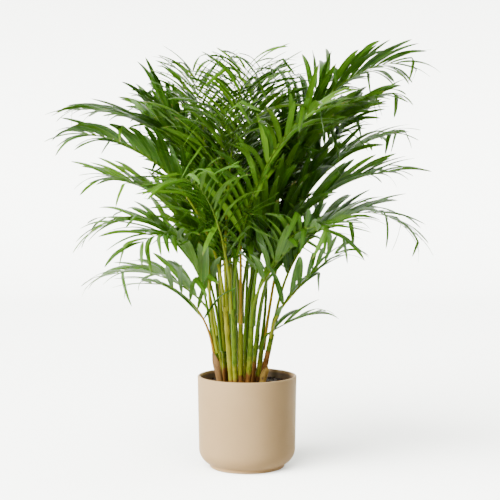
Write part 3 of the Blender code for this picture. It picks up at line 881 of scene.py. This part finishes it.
def make_cane(number, cane, tree, material):
    """One cane; its attributes say where its skin is green, straw or brown."""
    along = tilted(cane["tilt"])
    seed = number * 0.618034
    spots = np.linspace(-HOLE_DEPTH, cane["length"] + 0.001, CANE_POINTS)
    sway = CANE_SWAY * np.sin(np.clip(spots / cane["length"], 0, 1) * math.pi * 1.6)
    side = np.array((math.cos(seed * 9), math.sin(seed * 9), 0.0))
    points = cane["foot"] + spots[:, None] * along + sway[:, None] * side
    dry_top = 0.016 + 0.075 * ((seed * 5.1) % 1) ** 2
    guide = guide_mesh(
        points,
        [(k, k + 1) for k in range(CANE_POINTS - 1)],
        thickness=cane_thickness(spots, cane["length"], seed),
        height=spots / TALL_CANE,
        tone=np.full(CANE_POINTS, (seed * 2.3) % 1),
        dry=np.clip(0.5 + (dry_top - spots) / 0.05, 0, 1),
    )
    mesh = tree.grow(guide, Sides=CANE_SIDES, Finish=material)
    x, y, z = (np.array([corner.co for corner in mesh.vertices]) - cane["foot"]).T
    set_attributes(mesh, turn=np.arctan2(y - cane["tilt"][1] * z, x) / math.tau)
    place_piece(f"cane_stem_{number + 1:02d}", mesh, "cane_green", f"cane_{number + 1:02d}")


def make_husk(number, cane, height, azimuth, material):
    """A dried sheath that clasps the foot of a cane and peels away to a ragged point at its top."""
    along = tilted(cane["tilt"])
    facing = np.array((math.cos(azimuth), math.sin(azimuth), 0.0))
    facing -= along * (facing @ along)
    facing /= np.linalg.norm(facing)
    beside = np.cross(along, facing)
    points, turns, heights = [], [], []
    for layer in (0, 1):
        for row in range(HUSK_ROWS):
            share = row / (HUSK_ROWS - 1)
            wrap = SHEATH_WRAP * (1 - 0.93 * share**1.5)
            wrap *= 1 + 0.10 * noise.noise(Vector((share * 9, number * 3.1, 0.0)))
            for column in range(HUSK_COLUMNS):
                turn = 2 * column / (HUSK_COLUMNS - 1) - 1
                crease = HUSK_CREASE * noise.noise(Vector((turn * 5, share * 3, number * 5.3)))
                curl = HUSK_CURL * share * abs(turn) ** 3
                radius = HUSK_RADIUS + crease + curl + layer * HUSK_THICKNESS + SHEATH_PEEL * share**2
                ragged = HUSK_RAGGEDNESS * share**3 * noise.noise(Vector((turn * 7, 2.2, number * 4.0)))
                spot = cane["foot"] + along * (HUSK_START + height * share * 0.98 + ragged)
                angle = wrap * turn
                points.append(spot + radius * (facing * math.cos(angle) + beside * math.sin(angle)))
                turns.append(turn)
                heights.append(share)

    def index(layer, row, column):
        return (layer * HUSK_ROWS + row) * HUSK_COLUMNS + column

    last_row, last_column = HUSK_ROWS - 1, HUSK_COLUMNS - 1
    faces = []
    for row in range(last_row):
        for column in range(last_column):
            corners = ((row, column), (row, column + 1), (row + 1, column + 1), (row + 1, column))
            faces.append([index(1, *corner) for corner in corners])
            faces.append([index(0, *corner) for corner in corners[::-1]])
    rim = [(row, 0) for row in range(last_row, 0, -1)]
    rim += [(0, column) for column in range(last_column)]
    rim += [(row, last_column) for row in range(last_row)]
    rim += [(last_row, column) for column in range(last_column, 0, -1)]
    for here, following in zip(rim, rim[1:] + rim[:1]):
        faces.append((index(1, *here), index(0, *here), index(0, *following), index(1, *following)))
    mesh = solid_mesh("husk", points, faces, 50)
    set_attributes(mesh, turn=turns, height=heights, tone=[0.85 * number] * len(points))
    mesh.materials.append(material)
    place_piece(f"husk_{number + 1:02d}", mesh, "dry_husk", f"dry_sheath_{number + 1:02d}")


# --- fronds ----------------------------------------------------------------------------------------------


def blade_half_width(share):
    """Half the width of a leaflet, as a share of its greatest width, from its root at 0 to its tip at 1."""
    swell = share**0.45 * (1 - share) ** 0.6 / BLADE_PEAK
    return 0.5 * max(swell, 0.16 * (1 - share))


def leaflet_blank():
    """A flat leaflet of unit size; its growth reads where each point is from its attributes."""
    shares = (0, 0.04, 0.12, 0.22, 0.34, 0.46, 0.57, 0.68, 0.78, 0.87, 0.94)
    section = ((-1, 0), (-0.5, 0.5), (0, 1), (0.5, 0.5), (1, 0), (0, -1))
    points, along, across, vein, lift = [], [], [], [], []
    for share in shares:
        half = blade_half_width(share)
        for side, raised in section:
            points.append((share, side * half, raised * 0.02))
            along.append(share)
            across.append(side * half)
            vein.append(side)
            lift.append(raised * (1 - 0.6 * share))
    points.append((1, 0, 0))
    along.append(1)
    across.append(0)
    vein.append(0)
    lift.append(0)
    size = len(section)
    faces = [tuple(range(size))]
    tip = len(points) - 1
    for row in range(len(shares)):
        for k in range(size):
            following = (k + 1) % size
            low, high = row * size, (row + 1) * size
            if row == len(shares) - 1:
                faces.append((low + following, low + k, tip))
            else:
                faces.append((low + following, low + k, high + k, high + following))
    mesh = solid_mesh("leaflet", points, faces)
    set_attributes(mesh, along=along, across=across, vein=vein, lift=lift)
    for edge in mesh.edges:
        ends = [vein[k] for k in edge.vertices]
        if abs(ends[0]) == 1 and ends[0] == ends[1]:
            edge.use_edge_sharp = True
    return bpy.data.objects.new("leaflet", mesh)


def leaflet_place(tree, thickness):
    """Where each point of a leaflet goes: along an arc that bends down, with a crease part of the way."""
    along, across, lift = tree.named("along"), tree.named("across"), tree.named("lift")
    root, start, down = (tree.named(name, "FLOAT_VECTOR") for name in ("root", "start", "down"))
    length, width, bend = tree.named("length"), tree.named("width"), tree.named("bend")
    crease, crease_at = tree.named("crease"), tree.named("crease_at")

    def arc_point(share):
        turned = tree.math("MULTIPLY", bend, share)
        radius = tree.math("DIVIDE", length, bend)
        forward = tree.math("MULTIPLY", radius, tree.math("SINE", turned))
        sunk = tree.math("MULTIPLY", radius, tree.math("SUBTRACT", 1.0, tree.math("COSINE", turned)))
        return forward, sunk

    before = arc_point(tree.math("MINIMUM", along, crease_at))
    here = arc_point(along)
    past = tree.math("SUBTRACT", along, crease_at)
    extra = tree.math("MULTIPLY", crease, tree.ramped(past, 0.0, CREASE_SPAN))
    rest_forward = tree.math("SUBTRACT", here[0], before[0])
    rest_sunk = tree.math("SUBTRACT", here[1], before[1])
    cosine, sine = tree.math("COSINE", extra), tree.math("SINE", extra)
    forward = tree.math("MULTIPLY_ADD", rest_forward, cosine, before[0])
    forward = tree.math("SUBTRACT", forward, tree.math("MULTIPLY", rest_sunk, sine))
    sunk = tree.math("MULTIPLY_ADD", rest_forward, sine, before[1])
    sunk = tree.math("MULTIPLY_ADD", rest_sunk, cosine, sunk)
    middle = tree.vector("ADD", root, tree.blend(start, forward, down, sunk))
    heading_turn = tree.math("MULTIPLY_ADD", bend, along, extra)
    sine, cosine = tree.math("SINE", heading_turn), tree.math("COSINE", heading_turn)
    upper = tree.blend(start, sine, down, tree.math("MULTIPLY", cosine, -1.0))
    beside = tree.vector("CROSS_PRODUCT", start, down)
    twist = tree.math("MULTIPLY", tree.named("twist"), along)
    sine, cosine = tree.math("SINE", twist), tree.math("COSINE", twist)
    turned_beside = tree.blend(beside, cosine, upper, sine)
    turned_upper = tree.blend(upper, cosine, beside, tree.math("MULTIPLY", sine, -1.0))
    reach = tree.math("MULTIPLY", across, width)
    folded = tree.math("MULTIPLY", tree.math("ABSOLUTE", reach), tree.named("fold"))
    height = tree.math("MULTIPLY_ADD", lift, thickness, folded)
    return tree.vector("ADD", middle, tree.blend(turned_beside, reach, turned_upper, height))


def frond_growth():
    """A rib along the guide's line, and a leaflet at each of the guide's loose points."""
    sockets = {
        "Leaflet": "Object",
        "Leaflet thickness": "Float",
        "Rib sides": "Int",
        "Rib finish": "Material",
        "Leaflet finish": "Material",
    }
    tree = Growth("frond", sockets)
    source = tree.source
    parts = tree.add(
        "GeometryNodeSeparateGeometry",
        {"Geometry": source["Geometry"], "Selection": tree.named("is_root", "BOOLEAN")},
    )
    rib = tree.finished(tree.swept(parts.outputs["Inverted"], source["Rib sides"]), source["Rib finish"])
    roots = tree.add("GeometryNodeMeshToPoints", {"Mesh": parts.outputs["Selection"]}).outputs["Points"]
    blank = tree.add("GeometryNodeObjectInfo", {"Object": source["Leaflet"]}).outputs["Geometry"]
    sprouts = tree.add("GeometryNodeInstanceOnPoints", {"Points": roots, "Instance": blank})
    blades = tree.finished(sprouts.outputs["Instances"], source["Leaflet finish"])
    place = leaflet_place(tree, source["Leaflet thickness"])
    grown = tree.add("GeometryNodeSetPosition", {"Geometry": blades, "Position": place})
    tree.feed(tree.sink.inputs["Geometry"], tree.joined(rib, grown.outputs["Geometry"]))
    return tree


def point_on(path, share):
    """The point at a share of a frond's length, and the direction there."""
    points, directions, _ = path
    spot = share * PATH_STEPS
    whole = min(int(spot), PATH_STEPS - 1)
    rest = spot - whole
    point = points[whole] * (1 - rest) + points[whole + 1] * rest
    return point, directions[min(whole + 1, PATH_STEPS)]


def rib_thickness(share, length):
    """Radius of the stalk and rib: thick and flared at the foot, fine at the tip."""
    flare = STALK_FOOT_RADIUS - RIB_RADII[0]
    body = np.interp(share, RIB_SHARES, RIB_RADII) * frond_scale(length)
    return body + flare * np.exp(-share * length / STALK_FLARE_LENGTH)


def leaflet_shares(length):
    """Where along a frond its leaflets grow; on a short frond they stand further apart."""
    spacing = LEAFLET_SPACING * (1.9 - 0.9 * min(1.0, length / FROND_SCALE_LENGTH))
    count = max(3, round(length * (1 - STALK_SHARE) / spacing))
    return np.linspace(STALK_SHARE, 1 - 0.6 * LEAFLET_ROOT / length, count)


def leaflet_line(root, start, down, length, bend, crease, crease_at):
    """Points along a leaflet's middle, by nearly the same rule as leaflet_place."""

    def arc_point(share):
        radius = length / bend
        return radius * math.sin(bend * share), radius * (1 - math.cos(bend * share))

    points = []
    for share in (0.4, 0.6, 0.8, 1.0):
        forward, sunk = arc_point(min(share, crease_at))
        here = arc_point(share)
        extra = crease * min(1.0, max(0.0, (share - crease_at) / CREASE_SPAN))
        rest_forward, rest_sunk = here[0] - forward, here[1] - sunk
        forward += rest_forward * math.cos(extra) - rest_sunk * math.sin(extra)
        sunk += rest_forward * math.sin(extra) + rest_sunk * math.cos(extra)
        points.append(root + start * forward + down * sunk)
    return points


def inside_frame(points):
    """Whether the points lie inside the box of the whole palm, clear of its walls."""
    low, high = (np.array(corner) for corner in frame_box)
    return all((point > low + BOX_MARGIN).all() and (point < high - BOX_MARGIN).all() for point in points)


def frond_guide(row, path, chance):
    """The guide mesh of one frond: the rib's line and the roots of its leaflets."""
    length, azimuth, roll = row[2], path[2], math.radians(row[6])
    slim = 0.70 + 0.30 * min(1.0, length / FROND_SCALE_LENGTH)
    broadest = LEAFLET_WIDTH * slim
    tone = chance.uniform(0, 1)
    age = chance.uniform(0.15, 0.95)
    shares = np.linspace(0, 1, RIB_POINTS)
    line = [point_on(path, share)[0] for share in shares]
    along = path[1][0]
    line = [line[0] - along * STALK_SUNK] + line
    shares = np.concatenate(([0.0], shares))
    facts = {
        "thickness": list(rib_thickness(shares, length)),
        "share": list(shares),
        "tone": [tone] * len(line),
        "age": [age] * len(line),
        "is_root": [False] * len(line),
    }
    own = ("length", "width", "bend", "crease", "crease_at", "twist", "fold")
    facts.update({name: [0.0] * len(line) for name in own})
    facts.update({name: [(0.0, 0.0, 0.0)] * len(line) for name in ("root", "start", "down")})
    points = list(line)
    edges = [(k, k + 1) for k in range(len(line) - 1)]
    for share in leaflet_shares(length):
        along_rib = (share - STALK_SHARE) / (1 - STALK_SHARE)
        root, direction = point_on(path, share)
        left, upper = cross_axes(direction, azimuth, roll * share)
        for side in (1, -1):
            leaf_length, angle, rise, bend = leaflet_rule(along_rib, length)
            wander = chance.uniform(-1, 1, 6)
            angle += 0.14 * wander[0]
            rise += 0.18 * wander[1]
            bend *= 0.82 + 0.35 * wander[2]
            leaf_length *= LEAFLET_REACH * (1 - 0.06 * abs(wander[3]))
            outward = side * left * math.cos(rise) + upper * math.sin(rise)
            start = direction * math.cos(angle) + outward * math.sin(angle)
            down = 0.45 * side * left - np.array((0.0, 0.0, 1.0))
            down -= start * (down @ start)
            down /= np.linalg.norm(down)
            creased = chance.uniform() < CREASED_LEAFLETS
            crease = chance.uniform(0.6, 1.5) if creased else 0.12 * abs(wander[5])
            crease_at = chance.uniform(0.35, 0.7)
            at_rib = root + (side * left * 0.5 + upper * 0.3) * rib_thickness(share, length)
            while not inside_frame(leaflet_line(at_rib, start, down, leaf_length, bend, crease, crease_at)):
                leaf_length *= 0.95
            points.append(at_rib)
            values = {
                "thickness": 0.0,
                "share": share,
                "tone": chance.uniform(0, 1),
                "age": min(1.0, max(0.0, age + 0.2 * wander[4])),
                "is_root": True,
                "length": leaf_length,
                "width": broadest * (1.0 - 0.36 * along_rib) * (0.8 + 0.25 * chance.uniform()),
                "bend": bend,
                "crease": crease,
                "crease_at": crease_at,
                "twist": LEAFLET_TWIST * wander[5] * slim,
                "fold": -chance.uniform(0.12, 0.34),
                "root": at_rib,
                "start": start,
                "down": down,
            }
            for name, value in values.items():
                facts[name].append(value)
    return guide_mesh(points, edges, **facts)


def make_fronds(rows, paths, rib_material, leaflet_material):
    """Every frond, grown from its own guide."""
    tree = frond_growth()
    blank = leaflet_blank()
    chance = np.random.default_rng(20)
    for number, (row, path) in enumerate(zip(rows, paths)):
        mesh = tree.grow(
            frond_guide(row, path, chance),
            Leaflet=blank,
            Leaflet_thickness=LEAFLET_THICKNESS / 2,
            Rib_sides=RIB_SIDES,
            Rib_finish=rib_material,
            Leaflet_finish=leaflet_material,
        )
        place_piece(f"palm_frond_{number + 1:02d}", mesh, "frond_green", f"frond_{number + 1:02d}")


# --- studio ----------------------------------------------------------------------------------------------


def add_light(name, spot, target, size, power):
    lamp = bpy.data.lights.new(name, "AREA")
    lamp.size = size
    lamp.energy = power
    placed = bpy.data.objects.new(name, lamp)
    placed.location = spot
    placed.rotation_euler = (Vector(target) - Vector(spot)).to_track_quat("-Z", "Y").to_euler()
    bpy.context.scene.collection.objects.link(placed)


def add_wash(name, spot, spread, strength, paper):
    """Wide soft light that falls on the paper alone."""
    lamp = bpy.data.lights.new(name, "SUN")
    lamp.angle = math.radians(spread)
    lamp.energy = strength
    placed = bpy.data.objects.new(name, lamp)
    placed.rotation_euler = (-Vector(spot)).to_track_quat("-Z", "Y").to_euler()
    placed.light_linking.receiver_collection = paper
    bpy.context.scene.collection.objects.link(placed)


def square_points(half, height):
    return [(-half, -half, height), (half, -half, height), (half, half, height), (-half, half, height)]


def make_sweep():
    """The pale paper: a floor that sweeps up into a wall. The object's light doesn't bounce off it."""
    turns = np.linspace(0, math.pi / 2, SWEEP_STEPS)
    profile = [(SWEEP_FRONT, 0.0)]
    profile += [
        (SWEEP_TURN + SWEEP_RADIUS * math.sin(a), SWEEP_RADIUS - SWEEP_RADIUS * math.cos(a)) for a in turns
    ]
    profile.append((SWEEP_TURN + SWEEP_RADIUS, SWEEP_TOP))
    points = [(x, y, z) for y, z in profile for x in (-SWEEP_HALF_WIDTH, SWEEP_HALF_WIDTH)]
    faces = [(2 * k, 2 * k + 1, 2 * k + 3, 2 * k + 2) for k in range(len(profile) - 1)]
    sweep = bpy.data.objects.new("studio_sweep", solid_mesh("studio_sweep", points, faces))
    pale = Finish("studio_paper", Metallic=0.0, Specular_IOR_Level=0.1)
    shade = pale.mixed(pale.grain(0.6), (0.888, 0.905, 0.845), (0.908, 0.925, 0.865))
    pale.surface(shade, 0.95)
    sweep.data.materials.append(pale.material)
    bpy.context.scene.collection.objects.link(sweep)
    sweep.visible_diffuse = False
    sweep.visible_shadow = False
    return sweep


def make_air():
    """Dim light from all round, brighter near the horizon than overhead."""
    world = bpy.data.worlds.new("studio_air")
    world.use_nodes = True
    air = Nodes(world.node_tree)
    facing = air.add("ShaderNodeTexCoord").outputs["Generated"]
    upward = air.add("ShaderNodeSeparateXYZ", {"Vector": facing}).outputs["Z"]
    sky = world.node_tree.nodes["Background"]
    air.feed(sky.inputs["Color"], (1.0, 1.0, 0.985, 1))
    air.feed(sky.inputs["Strength"], air.ramped(upward, 0.15, 0.85, 0.45, 0.16))
    bpy.context.scene.world = world


def make_card():
    """A grey card just under the floor, which the camera doesn't see, for a soft bounce from below."""
    points = square_points(CARD_HALF_WIDTH, CARD_HEIGHT)
    card = bpy.data.objects.new("floor_card", solid_mesh("floor_card", points, [(0, 1, 2, 3)]))
    dull = Finish("card_paper", Metallic=0.0, Specular_IOR_Level=0.1)
    dull.surface(dull.mixed(dull.grain(2.0), (0.44, 0.43, 0.41), (0.47, 0.46, 0.44)), 0.95)
    card.data.materials.append(dull.material)
    card.visible_camera = False
    bpy.context.scene.collection.objects.link(card)


def make_camera():
    camera = bpy.data.cameras.new("camera")
    camera.lens = CAMERA_LENS
    camera.sensor_width = CAMERA_SENSOR
    camera.clip_end = 100
    placed = bpy.data.objects.new("camera", camera)
    placed.location = CAMERA_SPOT
    placed.rotation_euler = (math.radians(90 - CAMERA_DIP), 0, 0)
    bpy.context.scene.collection.objects.link(placed)
    bpy.context.scene.camera = placed


def make_studio():
    """A pale floor and wall, soft light from the front left, and the camera."""
    sweep = make_sweep()
    make_air()
    add_light("key", **KEY_LIGHT)
    make_card()
    paper = bpy.data.collections.new("paper")
    paper.objects.link(sweep)
    for wash in WASHES:
        add_wash(*wash, paper)
    make_camera()


# --- the palm --------------------------------------------------------------------------------------------


def main():
    canes = [cane_rule(number) for number in range(CANES)]
    rows, paths = frond_skeleton(canes)
    make_planter(ceramic_finish())
    make_soil(soil_finish())
    cane_material = cane_finish()
    stems = stem_growth()
    for number, cane in enumerate(canes):
        make_cane(number, cane, stems, cane_material)
    husk_material = husk_finish()
    for number, (cane, height, azimuth) in enumerate(DRY_SHEATHS):
        make_husk(number, canes[cane], height, math.radians(azimuth), husk_material)
    make_fronds(rows, paths, rib_finish(), leaflet_finish())
    make_studio()


main()
